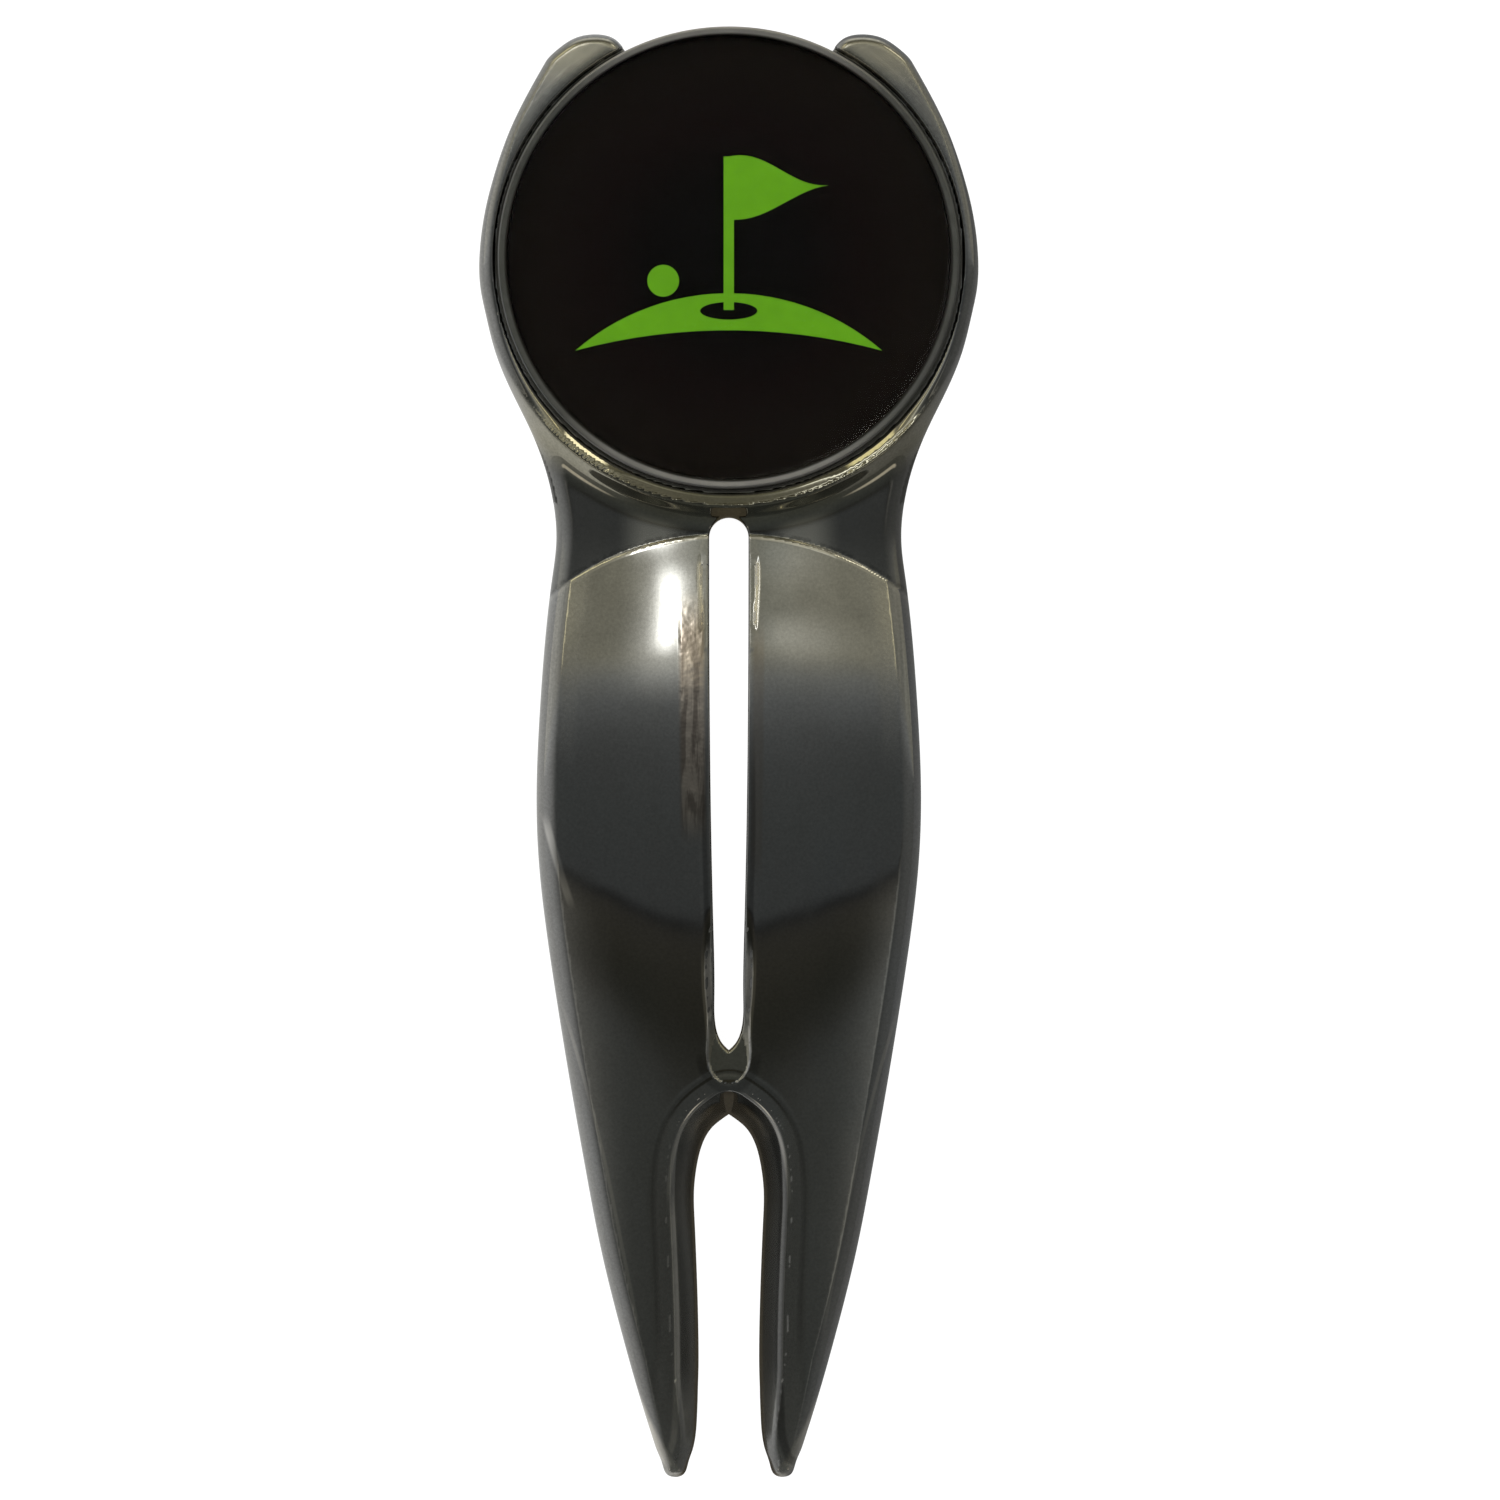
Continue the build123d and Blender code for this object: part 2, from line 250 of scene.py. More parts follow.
def field(x, y, z, maps=None):
    """Negative inside the tool body. Millimetres."""
    o, g, s, d = maps if maps is not None else [sample(MAPS[k], x, y) for k in KEYS]
    o = o + 0.008
    top, rise, r = profile(x, y)
    # roll round the fork: a soft shoulder, a crest, then a steep chamfer down to the gap
    narrow = 0.34 + 0.66 * smooth(-39.3, -31.5, y)
    arch = smooth(-24.0, -20.3, y)
    wide, crest = (2.15 + 0.15 * arch) * narrow, (1.16 + 0.26 * arch) * (0.42 + 0.58 * smooth(-39.4, -33, y))
    a_drop = 0.05 * ease(g + wide, 0.10) + 0.05 * np.maximum(g + wide, 0) ** 2 / narrow + (0.95 + 0.10 * smooth(-30, -24, y)) * ease(g + crest, 0.18) * (0.25 + 0.75 * smooth(-39.3, -36.5, y))
    groove = 0.009 * np.exp(-(((g + wide + 0.02) / 0.16) ** 2)) * smooth(-33, -28, y)
    # chamfer along the slot, and the valley that carries on from its point
    step = 0.05 + 0.22 * smooth(5.9, 6.3, y) * smooth(11.8, 11.4, y) + 0.20 * smooth(-8.0, -12.0, y) + 0.35 * smooth(-14.0, -16.0, y)
    cap = np.maximum(0.20 + 0.07 * (y + 15.6), 0.03) * smooth(6.2, 2.5, y) ** 2 + 0.060 * smooth(6.4, 7.3, y) * smooth(10.9, 10.0, y)
    s_drop = np.minimum(step * ease(d, 0.05), cap)
    drop = blend(a_drop, s_drop, 0.06) - 0.015 * np.exp(-(((a_drop - s_drop) / 0.06) ** 2)) * (a_drop + s_drop < 0.05)
    up = z - (top - np.maximum(drop, 0) - groove)
    ro = np.interp(y, [-39.4, -38.6, -36.5, -33, -12, 12, 20, 25, 30, 33.8, 37, 39], [0.46, 0.46, 0.66, 0.95, 1.05, 1.10, 0.95, 0.95, 0.62, 0.42, 0.45, 0.60])
    rg = 0.20 + 0.26 * smooth(-38.0, -39.0, y)
    floor = 0.25 * smooth(-29.0, -39.2, y)
    down = floor - z
    rb = 0.45 - 0.15 * smooth(-34, -39, y)
    f = corner(up, o, ro)
    f = np.maximum(f, corner(up, g, rg))
    f = np.maximum(f, corner(up, s, 0.12))
    f = np.maximum(f, corner(down, o, rb))
    f = np.maximum(f, corner(down, g, 0.30))
    f = np.maximum(f, corner(down, s, 0.30))
    # marker pocket with its floor, and the bore for the magnet
    f = np.maximum(f, corner(up, 12.75 - r, 0.08))
    plate = np.maximum(corner(z - 2.6, o, 0.20), corner(down, o, rb))
    plate = np.maximum(plate, corner(z - 2.6, s, 0.10))
    plate = np.where(y > 13.6, plate, 9.0)
    f = np.minimum(f, plate)
    return np.maximum(f, np.minimum(5.15 - r, z - 1.05))


# ----------------------------------------------------------------- surface of the field
def ticks(*spans):
    """Grid lines: (start, end, step) spans, end to end."""
    out = []
    for a, b, h in spans:
        n = max(1, int(round((b - a) / h)))
        out.append(a + (b - a) * np.arange(n) / n)
    return np.concatenate(out + [[spans[-1][1]]])


def surface(k):
    half = ticks((0.05, 4.45, 0.10 * k), (4.45, 8.6, 0.15 * k), (8.6, 13.9, 0.125 * k))
    xs = np.concatenate((-half[::-1], half))
    ys = ticks((-39.6, -37.0, 0.09 * k), (-37.0, -21.6, 0.16 * k), (-21.6, -15.4, 0.10 * k), (-15.4, 8.6, 0.18 * k), (8.6, 13.4, 0.085 * k), (13.4, 34.0, 0.15 * k), (34.0, 39.4, 0.12 * k))
    zs = ticks((-0.06, 4.9, 0.12 * k))
    gx, gy = np.meshgrid(xs, ys, indexing="ij")
    maps2 = [sample(MAPS[key], gx, gy)[:, :, None] for key in KEYS]
    f = field(gx[:, :, None], gy[:, :, None], zs[None, None, :], maps2)
    f = np.where(np.abs(f) < 1e-6, 1e-6, f)
    nx, ny, nz = f.shape
    neg = f < 0
    count = np.zeros((nx - 1, ny - 1, nz - 1), np.int8)
    for a in (0, 1):
        for b in (0, 1):
            for c in (0, 1):
                count += neg[a : nx - 1 + a, b : ny - 1 + b, c : nz - 1 + c]
    active = (count > 0) & (count < 8)
    index = np.full(active.shape, -1, np.int64)
    index[active] = np.arange(active.sum())
    cell = np.argwhere(active)
    acc, num = np.zeros((len(cell), 3)), np.zeros(len(cell))
    corners = [(a, b, c) for a in (0, 1) for b in (0, 1) for c in (0, 1)]
    for p in corners:
        for axis in range(3):
            if p[axis]:
                continue
            q = list(p)
            q[axis] = 1
            fa = f[cell[:, 0] + p[0], cell[:, 1] + p[1], cell[:, 2] + p[2]]
            fb = f[cell[:, 0] + q[0], cell[:, 1] + q[1], cell[:, 2] + q[2]]
            m = (fa < 0) != (fb < 0)
            t = np.where(m, fa / np.where(m, fa - fb, 1), 0)
            pos = np.tile(np.array(p, float), (len(cell), 1))
            pos[:, axis] += t
            acc[m] += pos[m]
            num[m] += 1
    v = cell + acc / num[:, None]
    v = np.stack([np.interp(v[:, k], np.arange(len(t)), t) for k, t in enumerate((xs, ys, zs))], axis=1)
    quads = []
    for axis in range(3):
        lo = [slice(None)] * 3
        hi = [slice(None)] * 3
        lo[axis], hi[axis] = slice(0, -1), slice(1, None)
        na, nb = neg[tuple(lo)], neg[tuple(hi)]
        e = np.argwhere(na != nb)
        b, c = (axis + 1) % 3, (axis + 2) % 3
        ok = (e[:, b] > 0) & (e[:, c] > 0) & (e[:, b] < f.shape[b] - 1) & (e[:, c] < f.shape[c] - 1)
        e = e[ok]
        off = np.zeros((4, 3), int)
        off[1, b] = off[2, b] = -1
        off[2, c] = off[3, c] = -1
        q = np.stack([index[tuple((e + o).T)] for o in off], axis=1)
        flip = ~na[tuple(e.T)]
        q[flip] = q[flip][:, ::-1]
        quads.append(q)
    quads = np.concatenate(quads)
    return v, quads


def gradient(v, e=0.012):
    g = np.empty_like(v)
    for axis in range(3):
        d = np.zeros(3)
        d[axis] = e
        a, b = v + d, v - d
        g[:, axis] = (field(*a.T) - field(*b.T)) / (2 * e)
    return g


def settle(v, quads, rounds):
    """Even out the vertices along the surface, and bring them onto it."""
    e = np.concatenate((quads[:, [0, 1]], quads[:, [1, 2]], quads[:, [2, 3]], quads[:, [3, 0]]))
    num = np.bincount(e[:, 0], minlength=len(v)) + np.bincount(e[:, 1], minlength=len(v))
    for n in range(rounds):
        if n < 2:
            acc = np.stack([np.bincount(e[:, 0], v[e[:, 1], k], len(v)) + np.bincount(e[:, 1], v[e[:, 0], k], len(v)) for k in range(3)], axis=1)
            v = v + 0.45 * (acc / num[:, None] - v)
        g = gradient(v)
        step = field(*v.T)[:, None] * g / np.maximum((g * g).sum(axis=1), 0.05)[:, None]
        far = np.linalg.norm(step, axis=1)
        v = v - step * np.minimum(1, 0.12 / np.maximum(far, 1e-9))[:, None]
    return v


def body_mesh():
    v, quads = surface(1.0)
    v = settle(v, quads, 5)
    n = gradient(v)
    n /= np.maximum(np.linalg.norm(n, axis=1), 1e-9)[:, None]
    mesh = bpy.data.meshes.new("tool_body_skin")
    mesh.vertices.add(len(v))
    mesh.vertices.foreach_set("co", (v * MM).astype(np.float32).ravel())
    mesh.loops.add(quads.size)
    mesh.loops.foreach_set("vertex_index", quads.astype(np.int32).ravel())
    mesh.polygons.add(len(quads))
    mesh.polygons.foreach_set("loop_start", np.arange(0, quads.size, 4, dtype=np.int32))
    mesh.update(calc_edges=True)
    mesh.validate()
    mesh.polygons.foreach_set("use_smooth", np.ones(len(mesh.polygons), bool))
    mesh.normals_split_custom_set_from_vertices(n.tolist())
    # how far each point is from the lines that the painted highlights and painted shade follow, for the material
    x, y = v[:, 0], v[:, 1]
    values = {key: sample(MAPS[key], x, y) for key in KEYS}
    values["rise"] = profile(x, y)[1]
    for key, val in values.items():
        mesh.attributes.new(key, "FLOAT", "POINT").data.foreach_set("value", np.asarray(val, np.float32))
    ob = bpy.data.objects.new("tool_body_skin", mesh)
    bpy.context.scene.collection.objects.link(ob)
    print("body", len(v), "vertices", len(quads), "quads", v.min(axis=0), v.max(axis=0))
    return ob


# ----------------------------------------------------------------- turned pieces
def lathe(name, outline, turns=256, centre=(0.0, MARKER_Y)):
    """A closed solid turned from a (radius, height) outline in millimetres that starts and ends on the axis."""
    bm = bmesh.new()
    rings = []
    for rad, z in outline:
        if rad < 1e-6:
            rings.append([bm.verts.new((centre[0] * MM, centre[1] * MM, z * MM))])
        else:
            rings.append([bm.verts.new(((centre[0] + rad * math.cos(2 * math.pi * k / turns)) * MM, (centre[1] + rad * math.sin(2 * math.pi * k / turns)) * MM, z * MM)) for k in range(turns)])
    for a, b in zip(rings[:-1], rings[1:]):
        for k in range(turns):
            m = (k + 1) % turns
            if len(a) == 1:
                bm.faces.new((a[0], b[m], b[k]))
            elif len(b) == 1:
                bm.faces.new((a[k], a[m], b[0]))
            else:
                bm.faces.new((a[k], a[m], b[m], b[k]))
    bmesh.ops.recalc_face_normals(bm, faces=bm.faces)
    mesh = bpy.data.meshes.new(name)
    bm.to_mesh(mesh)
    bm.free()
    mesh.polygons.foreach_set("use_smooth", np.ones(len(mesh.polygons), bool))
    ob = bpy.data.objects.new(name, mesh)
    bpy.context.scene.collection.objects.link(ob)
    return ob


def rounded(points, n=6):
    """A (radius, height) outline with round corners: each point is (r, z) or (r, z, corner radius)."""
    out = []
    for i, p in enumerate(points):
        if len(p) < 3 or i in (0, len(points) - 1):
            out.append(tuple(p[:2]))
            continue
        c, rad = np.array(p[:2], float), p[2]
        a = np.array(points[i - 1][:2], float) - c
        b = np.array(points[i + 1][:2], float) - c
        a /= np.linalg.norm(a)
        b /= np.linalg.norm(b)
        half = math.acos(max(-1, min(1, float(a @ b)))) / 2
        reach = rad / math.tan(half)
        mid = (a + b) / np.linalg.norm(a + b)
        centre = c + mid * rad / math.sin(half)
        s, e = c + a * reach - centre, c + b * reach - centre
        ang = math.acos(max(-1, min(1, float(s @ e) / (rad * rad))))
        edge_in, edge_out = c + a * min(reach * 1.35, reach + 0.05), c + b * min(reach * 1.35, reach + 0.05)
        out.append(tuple(edge_in))
        for k in range(n + 1):
            t = k / n
            q = (math.sin((1 - t) * ang) * s + math.sin(t * ang) * e) / math.sin(ang)
            out.append(tuple(centre + q))
        out.append(tuple(edge_out))
    return out


# ----------------------------------------------------------------- node helpers
def material(name):
    m = bpy.data.materials.new(name)
    m.use_nodes = True
    nt = m.node_tree
    nt.nodes.clear()
    out = nt.nodes.new("ShaderNodeOutputMaterial")
    sh = nt.nodes.new("ShaderNodeBsdfPrincipled")
    nt.links.new(sh.outputs[0], out.inputs[0])
    return m, nt, sh


def add(nt, kind, **props):
    n = nt.nodes.new(kind)
    for k, v in props.items():
        setattr(n, k, v)
    return n


def noise(nt, coord, scale, detail=3.0, rough=0.5, stretch=(1, 1, 1), distortion=0.0):
    mp = add(nt, "ShaderNodeMapping")
    mp.inputs["Scale"].default_value = stretch
    nt.links.new(coord, mp.inputs["Vector"])
    n = add(nt, "ShaderNodeTexNoise")
    n.inputs["Scale"].default_value = scale
    n.inputs["Detail"].default_value = detail
    n.inputs["Roughness"].default_value = rough
    n.inputs["Distortion"].default_value = distortion
    nt.links.new(mp.outputs[0], n.inputs["Vector"])
    return n.outputs[0]


def ramp(nt, value, stops, mode="LINEAR"):
    n = add(nt, "ShaderNodeValToRGB")
    n.color_ramp.interpolation = mode
    el = n.color_ramp.elements
    while len(el) < len(stops):
        el.new(0.5)
    for e, (p, c) in zip(el, stops):
        e.position = p
        e.color = c if len(c) == 4 else (*c, 1)
    nt.links.new(value, n.inputs[0])
    return n.outputs[0]


def maths(nt, op, a, b=None, clamp=False):
    n = add(nt, "ShaderNodeMath", operation=op)
    n.use_clamp = clamp
    for i, v in enumerate((a, b)):
        if v is None:
            continue
        if hasattr(v, "is_linked"):
            nt.links.new(v, n.inputs[i])
        else:
            n.inputs[i].default_value = v
    return n.outputs[0]


def span(nt, value, a, b, c=0.0, d=1.0, smoothly=True):
    n = add(nt, "ShaderNodeMapRange")
    n.interpolation_type = "SMOOTHSTEP" if smoothly else "LINEAR"
    nt.links.new(value, n.inputs[0])
    for i, v in enumerate((a, b, c, d)):
        n.inputs[i + 1].default_value = v
    return n.outputs[0]


def mix(nt, fac, a, b):
    n = add(nt, "ShaderNodeMix", data_type="RGBA")
    if hasattr(fac, "is_linked"):
        nt.links.new(fac, n.inputs["Factor"])
    else:
        n.inputs["Factor"].default_value = fac
    for key, v in ((6, a), (7, b)):
        if hasattr(v, "is_linked"):
            nt.links.new(v, n.inputs[key])
        else:
            n.inputs[key].default_value = v if len(v) == 4 else (*v, 1)
    return n.outputs[2]


def bump(nt, sh, height, strength, distance):
    n = add(nt, "ShaderNodeBump")
    n.inputs["Strength"].default_value = strength
    n.inputs["Distance"].default_value = distance
    nt.links.new(height, n.inputs["Height"])
    nt.links.new(n.outputs[0], sh.inputs["Normal"])
    return n


# ----------------------------------------------------------------- materials
def attribute(nt, name):
    n = add(nt, "ShaderNodeAttribute", attribute_type="GEOMETRY", attribute_name=name)
    return n.outputs["Fac"]


def line(nt, value, at, half, soft=0.5):
    """1 where value is within half of at, fading over soft times half beyond it."""
    d = maths(nt, "ABSOLUTE", maths(nt, "SUBTRACT", value, at))
    return span(nt, d, half * (1 + soft), half * (1 - soft * 0.5))


def both(nt, *parts):
    acc = parts[0]
    for p in parts[1:]:
        acc = maths(nt, "MULTIPLY", acc, p)
    return acc


def gunmetal():
    m, nt, sh = material("gunmetal_plating")
    co = add(nt, "ShaderNodeTexCoord").outputs["Object"]
    sh.inputs["Metallic"].default_value = 1.0
    sep = add(nt, "ShaderNodeSeparateXYZ")
    nt.links.new(co, sep.inputs[0])
    x, y, z = sep.outputs
    outer, gap_d, slot_d, border, rise = (attribute(nt, k) for k in ("outer", "gap", "slot", "border", "rise"))
    top = span(nt, z, 0.0007, 0.0009)
    # cloudy tone of the plating, warmer where the polish has gone deeper
    cloud = noise(nt, co, 160, 4, 0.55, (1, 0.45, 1))
    fine = noise(nt, co, 6200, 2, 0.7)
    blotch = noise(nt, co, 1500, 3, 0.6)
    col = ramp(nt, cloud, [(0.32, (0.435, 0.430, 0.415)), (0.55, (0.475, 0.475, 0.465)), (0.75, (0.455, 0.470, 0.475))])
    grain = ramp(nt, fine, [(0.30, (0.86, 0.86, 0.86)), (0.70, (1.06, 1.06, 1.06))])
    mul = add(nt, "ShaderNodeMix", data_type="RGBA", blend_type="MULTIPLY")
    mul.inputs["Factor"].default_value = 1.0
    nt.links.new(col, mul.inputs[6])
    nt.links.new(grain, mul.inputs[7])
    col = mul.outputs[2]
    # painted highlights along the ridges, the rims and the crease, in broken lines
    broken = span(nt, noise(nt, co, 620, 4, 0.6), 0.36, 0.56, 0.35, 1.0)
    patchy = span(nt, noise(nt, co, 2400, 3, 0.6), 0.36, 0.60)
    crest = both(nt, span(nt, x, 0.0004, -0.0004), line(nt, gap_d, -1.16, 0.14, 0.9), span(nt, y, -0.0235, -0.0250), span(nt, outer, -0.5, -0.8), top)
    arch = both(nt, line(nt, gap_d, -1.36, 0.09, 0.9), span(nt, y, -0.0250, -0.0232), span(nt, maths(nt, "ABSOLUTE", x), 0.0009, 0.0015), top)
    inner = both(nt, line(nt, gap_d, -0.78, 0.13, 0.9), line(nt, maths(nt, "ABSOLUTE", x), 0.00135, 0.00042, 0.6), span(nt, y, -0.0225, -0.0210), top)
    shoulder = maths(nt, "ADD", maths(nt, "MULTIPLY", maths(nt, "POWER", maths(nt, "ADD", y, 0.0252), 2.0), -6.75), span(nt, x, -0.001, 0.001, 0.00120, 0.00098))
    ridge = both(nt, line(nt, maths(nt, "ADD", outer, maths(nt, "MULTIPLY", shoulder, 1000)), 0.0, 0.075, 0.9), span(nt, y, -0.0320, -0.0300), span(nt, y, -0.0128, -0.0165), top)
    rim = both(nt, line(nt, border, 0.03, 0.075, 0.9), top)
    low_rim = both(nt, rim, span(nt, y, -0.0100, -0.0120), span(nt, y, -0.0165, -0.0145, 0.08, 1.0))
    lamp_rim = both(nt, line(nt, border, 0.10, 0.12, 0.8), span(nt, y, 0.0066, 0.0073), span(nt, y, 0.0106, 0.0101), top)
    mid_rim = both(nt, rim, broken, patchy)
    lip = both(nt, line(nt, rise, 0.035, 0.028, 0.9), span(nt, y, 0.0145, 0.0140), top, span(nt, maths(nt, "ABSOLUTE", x), 0.0085, 0.0050, 0.15, 1.0), span(nt, broken, 0.35, 1.0, 0.72, 1.0))
    dx = maths(nt, "POWER", x, 2.0)
    dy = maths(nt, "POWER", maths(nt, "SUBTRACT", y, MARKER_Y * MM), 2.0)
    rad = maths(nt, "SQRT", maths(nt, "ADD", dx, dy))
    bead = both(nt, line(nt, rad, 0.01338, 0.00008, 0.9), span(nt, y, 0.0205, 0.0180), patchy)
    seat = both(nt, line(nt, rad, 0.01350, 0.00006, 0.9), span(nt, y, 0.0345, 0.0352), broken)
    painted_highlight = maths(nt, "MULTIPLY", crest, span(nt, broken, 0.3, 1.0, 0.42, 0.60))
    for part, amount in ((arch, 0.55), (inner, 0.6), (ridge, 0.42), (low_rim, 1.0), (lamp_rim, 1.0), (mid_rim, 0.12), (lip, 0.9), (bead, 0.0), (seat, 0.15)):
        painted_highlight = maths(nt, "MAXIMUM", painted_highlight, maths(nt, "MULTIPLY", part, amount))
    # the painted highlight lines are mixed into the base colour
    col = mix(nt, painted_highlight, col, (0.90, 0.87, 0.80))
    # painted reflection of something brown, running down beside the slot in uneven streaks
    streak = noise(nt, co, 1900, 4, 0.6, (1, 0.13, 1), 0.8)
    reflection_strip = both(nt, span(nt, slot_d, -1.75, -1.45), span(nt, slot_d, -0.15, -0.40), span(nt, x, -0.0002, -0.0006), span(nt, y, -0.0052, -0.0030), span(nt, y, 0.0092, 0.0062), top)
    painted_reflection = mix(nt, span(nt, streak, 0.42, 0.62), (0.40, 0.33, 0.27), (0.86, 0.74, 0.62))
    col = mix(nt, maths(nt, "MULTIPLY", reflection_strip, 0.85), col, painted_reflection)
    # a narrower band to the right of the slot is coloured darker brown
    strip_r = both(nt, span(nt, slot_d, -0.95, -0.75), span(nt, slot_d, -0.15, -0.40), span(nt, x, 0.0002, 0.0006), span(nt, y, -0.0075, -0.0050), span(nt, y, 0.0080, 0.0050), top)
    col = mix(nt, maths(nt, "MULTIPLY", strip_r, 0.45), col, (0.40, 0.35, 0.30))
    # the neck is rougher and coloured darker, with two paler strokes painted down it as reflections, and a glint is
    # painted near the left edge
    neck = both(nt, span(nt, rise, 0.01, -0.05), span(nt, rad, 0.0144, 0.0149), span(nt, y, 0.0175, 0.0160), top)
    painted_streaks = both(nt, neck, line(nt, maths(nt, "ABSOLUTE", x), 0.0041, 0.0009, 1.3), span(nt, y, 0.0138, 0.0121, 0.25, 1.0))
    col = mix(nt, maths(nt, "MULTIPLY", neck, 0.45), col, (0.17, 0.17, 0.155))
    col = mix(nt, painted_streaks, col, (0.95, 0.92, 0.83))
    # painted glint near the left edge
    painted_glint = both(nt, line(nt, maths(nt, "ADD", outer, maths(nt, "MULTIPLY", maths(nt, "SUBTRACT", -0.00110, y), 215.6)), 0.0, 0.17, 0.7), span(nt, y, -0.0030, -0.0046), span(nt, y, -0.0086, -0.0074), span(nt, x, 0.0, -0.001), top)
    col = mix(nt, maths(nt, "MULTIPLY", painted_glint, 0.95), col, (1.0, 0.98, 0.93))
    # painted shade in the crevices and hollows, and along a band down the fork's right inner side
    groove = both(nt, line(nt, maths(nt, "ADD", gap_d, span(nt, y, -0.0240, -0.0203, 2.17, 2.32)), 0.0, 0.12, 0.9), span(nt, y, -0.0345, -0.0300), top)
    pit = both(nt, line(nt, border, -0.28, 0.20, 0.8), span(nt, y, -0.0160, -0.0168), top)
    tuck = both(nt, line(nt, border, 0.28, 0.11, 0.9), span(nt, y, -0.0145, -0.0138), span(nt, y, 0.0020, -0.0020), top)
    foot = both(nt, line(nt, rise, -0.045, 0.04, 0.9), span(nt, y, 0.0145, 0.0140), top, patchy)
    inner_lip = both(nt, line(nt, rad, 0.01318, 0.00020, 0.6), span(nt, y, 0.0200, 0.0185), span(nt, maths(nt, "ABSOLUTE", x), 0.0068, 0.0054), top)
    shade_band = both(nt, line(nt, gap_d, -1.08, 0.19, 0.7), span(nt, x, 0.0004, 0.0010), top)
    painted_shade = maths(nt, "MULTIPLY", groove, 0.24)
    for part, amount in ((pit, 0.30), (tuck, 0.35), (foot, 0.35), (shade_band, 0.45), (inner_lip, 0.55)):
        painted_shade = maths(nt, "MAXIMUM", painted_shade, maths(nt, "MULTIPLY", part, amount))
    # the painted shade is mixed into the base colour
    col = mix(nt, painted_shade, col, (0.02, 0.02, 0.018))
    # olive cast of the ring and of the valley's floor
    olive = maths(nt, "MAXIMUM", both(nt, span(nt, rad, 0.0152, 0.0140), span(nt, y, 0.0215, 0.0170)), both(nt, span(nt, border, 0.05, 0.2), span(nt, y, -0.0135, -0.0160)))
    tint = add(nt, "ShaderNodeMix", data_type="RGBA", blend_type="MULTIPLY")
    nt.links.new(maths(nt, "MULTIPLY", olive, 0.9), tint.inputs["Factor"])
    nt.links.new(col, tint.inputs[6])
    nt.links.new(ramp(nt, blotch, [(0.3, (0.96, 0.92, 0.72)), (0.7, (1.08, 1.03, 0.84))]), tint.inputs[7])
    col = tint.outputs[2]
    # painted warm highlight on the horns' ends, which makes them paler and warmer
    end = both(nt, span(nt, y, 0.0355, 0.0378), span(nt, outer, -0.15, -0.55), top)
    col = mix(nt, maths(nt, "MULTIPLY", end, 0.45), col, (0.80, 0.74, 0.55))
    # the pocket's floor keeps its cast, unpolished skin
    pocket = both(nt, span(nt, rad, 0.01272, 0.01262), span(nt, z, 0.00275, 0.00265), span(nt, z, 0.0009, 0.0010))
    col = mix(nt, pocket, col, (0.30, 0.295, 0.285))
    nt.links.new(col, sh.inputs["Base Color"])
    smear = noise(nt, co, 420, 4, 0.6, (1, 0.25, 1), 0.6)
    rough = maths(nt, "ADD", span(nt, smear, 0.35, 0.72, 0.036, 0.060), maths(nt, "ADD", maths(nt, "MULTIPLY", pocket, 0.36), maths(nt, "ADD", maths(nt, "MULTIPLY", neck, 0.13), maths(nt, "MULTIPLY", both(nt, span(nt, y, 0.0300, 0.0340), top), 0.16))))
    # the fork's rounded inside, the ends of the prongs, the turn at the grip's sides and the slot rims with painted
    # highlight lines shine less sharply
    fork = both(nt, span(nt, gap_d, -2.75, -2.05), span(nt, y, -0.0188, -0.0200))
    point = span(nt, y, -0.0355, -0.0385)
    turn = both(nt, line(nt, outer, -1.55, 0.45, 1.0), span(nt, y, -0.0020, 0.0010), span(nt, rise, -0.01, 0.05), span(nt, y, 0.0160, 0.0145), top)
    for part, amount in ((fork, 0.17), (point, 0.06), (turn, 0.10), (lamp_rim, 0.18)):
        rough = maths(nt, "ADD", rough, maths(nt, "MULTIPLY", part, amount))
    nt.links.new(rough, sh.inputs["Roughness"])
    # long soft waves of the hand polish, fine lap lines, uneven ridges, and turned rings in the pocket
    waves = noise(nt, co, 170, 2, 0.4, (1, 0.5, 1))
    lap = noise(nt, co, 2600, 3, 0.6, (1, 0.08, 1))
    rings = maths(nt, "SINE", maths(nt, "MULTIPLY", rad, 2 * math.pi / 0.00032))
    tips = both(nt, span(nt, y, 0.0345, 0.0365), noise(nt, co, 900, 3, 0.55))
    edge_wave = maths(nt, "MULTIPLY", noise(nt, co, 1300, 2, 0.5), maths(nt, "MAXIMUM", maths(nt, "MAXIMUM", lip, bead), reflection_strip))
    h = maths(nt, "ADD", waves, maths(nt, "MULTIPLY", lap, 0.012))
    for part, amount in ((both(nt, rings, pocket), 0.10), (tips, 0.30), (edge_wave, 0.45)):
        h = maths(nt, "ADD", h, maths(nt, "MULTIPLY", part, amount))
    bump(nt, sh, h, 1.0, 0.00003)
    return m


